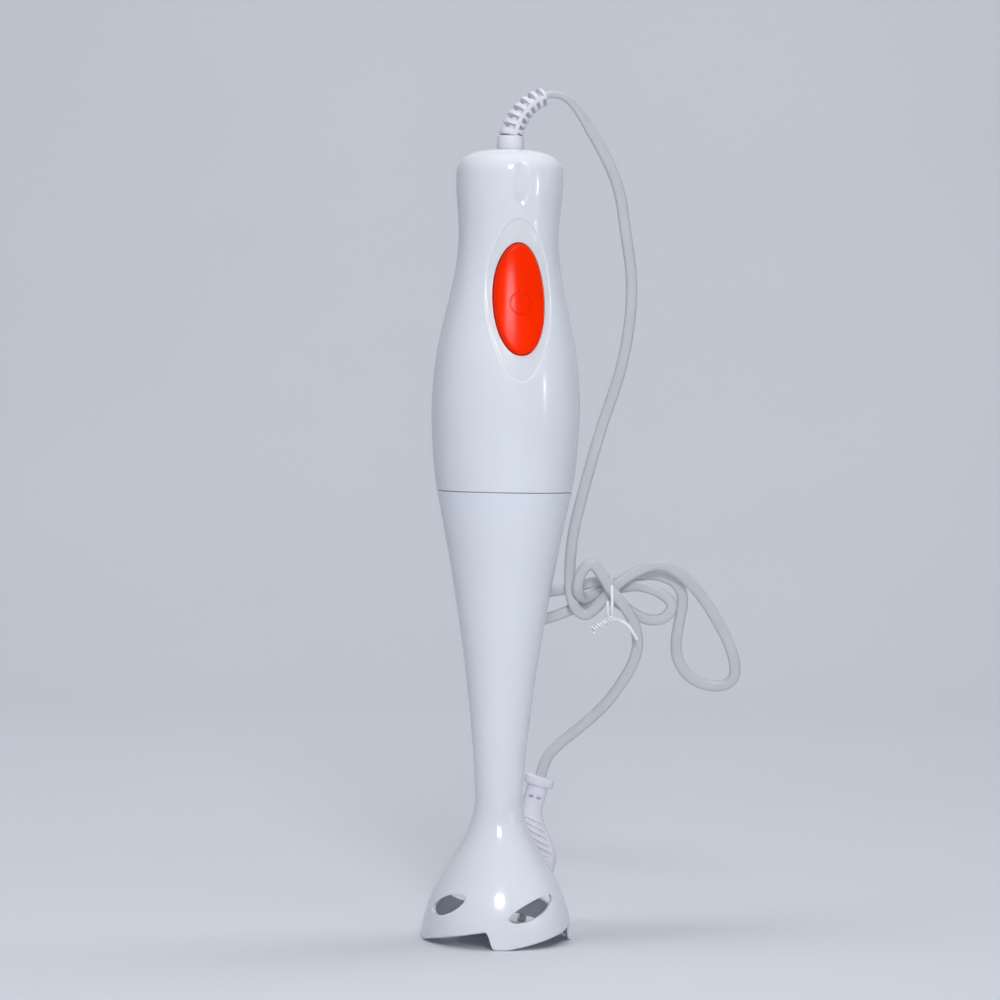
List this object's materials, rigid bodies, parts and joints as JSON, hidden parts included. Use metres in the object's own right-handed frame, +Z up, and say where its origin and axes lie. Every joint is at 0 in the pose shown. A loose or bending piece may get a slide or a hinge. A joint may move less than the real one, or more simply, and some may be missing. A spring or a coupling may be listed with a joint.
{
  "type": "immersion blender",
  "caption": "White hand blender: waisted motor housing with a red oval button, twist-off tapered stem with a slotted blade guard, flat cord tied in a bundle, and a two-pin plug.",
  "frame": {"origin": "on the floor at the middle of the blade guard's four feet", "axes": "+Z up along the shaft, button towards -Y, +X to the user's right when facing the button"},
  "size_m": [0.1457, 0.0825, 0.3727],
  "materials": {
    "white_gloss": "glossy moulded",
    "white_inner": "satin moulded",
    "button_red": "glossy moulded",
    "soft_white": "satin moulded, slightly lavender",
    "cord_white": "satin sheath",
    "tie_white": "coated wire",
    "dark_plastic": "satin moulded",
    "fan_plastic": "satin moulded",
    "coupler_dark": "satin moulded",
    "coupler_white": "satin moulded",
    "steel": "ground",
    "blade_steel": "polished",
    "laminations": "varnished sheet",
    "copper": "enamelled wire",
    "bronze": "sintered",
    "brass": "stamped",
    "carbon": "pressed",
    "seal_rubber": "moulded",
    "wire_brown": "extruded",
    "board_green": "lacquered",
    "film_yellow": "dipped",
    "pin_nickel": "plated"
  },
  "bodies": {
    "housing": {"housing_front": "white_gloss", "housing_rear": "white_gloss", "housing_screws": "steel", "lock_ring": "white_inner", "strain_relief": "soft_white", "cord_clamp": "dark_plastic", "clamp_screws": "steel", "lead_wires": "wire_brown", "circuit_board": "board_green", "capacitor": "film_yellow", "switch_mount": "dark_plastic", "switch_body": "dark_plastic", "field_core": "laminations", "field_coils": "copper", "lower_bracket": "dark_plastic", "upper_bracket": "dark_plastic", "lower_bearing": "bronze", "upper_bearing": "bronze", "brush_holders": "brass", "carbon_brushes": "carbon", "bracket_screws": "steel", "button_spring": "steel", "power_cord": "cord_white", "cord_tie": "tie_white", "plug_body": "soft_white", "plug_pins": "pin_nickel"},
    "button": {"power_button": "button_red"},
    "plunger": {"switch_plunger": "button_red"},
    "armature": {"motor_shaft": "steel", "armature_core": "laminations", "armature_windings": "copper", "commutator": "brass", "cooling_fan": "fan_plastic", "motor_coupler": "coupler_white"},
    "seal": {"seal_ring": "seal_rubber"},
    "stem": {"stem_tube": "white_gloss", "blade_guard": "white_gloss", "bearing_carrier": "white_inner", "stem_collar": "white_inner", "upper_bush": "bronze", "lower_bush": "bronze", "shaft_seal": "seal_rubber"},
    "drive": {"drive_shaft": "steel", "stem_coupler": "coupler_dark", "blade_hub": "steel", "blade": "blade_steel", "blade_nut": "steel"}
  },
  "joints": [
    {"name": "button_press", "type": "slide", "parent": "housing", "child": "button", "axis": [0, 1, 0], "range_m": [0, 0.002], "stiffness_N_per_m": 700, "springref_m": -0.001, "deforming": ["button_spring"]},
    {"name": "switch_press", "type": "slide", "parent": "housing", "child": "plunger", "axis": [0, 1, 0], "range_m": [0, 0.0013]},
    {"name": "motor_spin", "type": "hinge", "parent": "housing", "child": "armature", "pos_m": [0, 0, 0.245], "axis": [0, 0, 1], "continuous": true},
    {"name": "stem_twist", "type": "hinge", "parent": "housing", "child": "seal", "pos_m": [0, 0, 0.197], "axis": [0, 0, 1], "range_deg": [0, 25]},
    {"name": "stem_pull", "type": "slide", "parent": "seal", "child": "stem", "axis": [0, 0, -1], "range_m": [0, 0.06]},
    {"name": "shaft_spin", "type": "hinge", "parent": "stem", "child": "drive", "pos_m": [0, 0, 0.1], "axis": [0, 0, 1], "continuous": true}
  ],
  "couplings": [
    {"joint": "switch_press", "follows": "button_press", "ratio": 0.55},
    {"joint": "shaft_spin", "follows": "motor_spin", "ratio": 1}
  ]
}
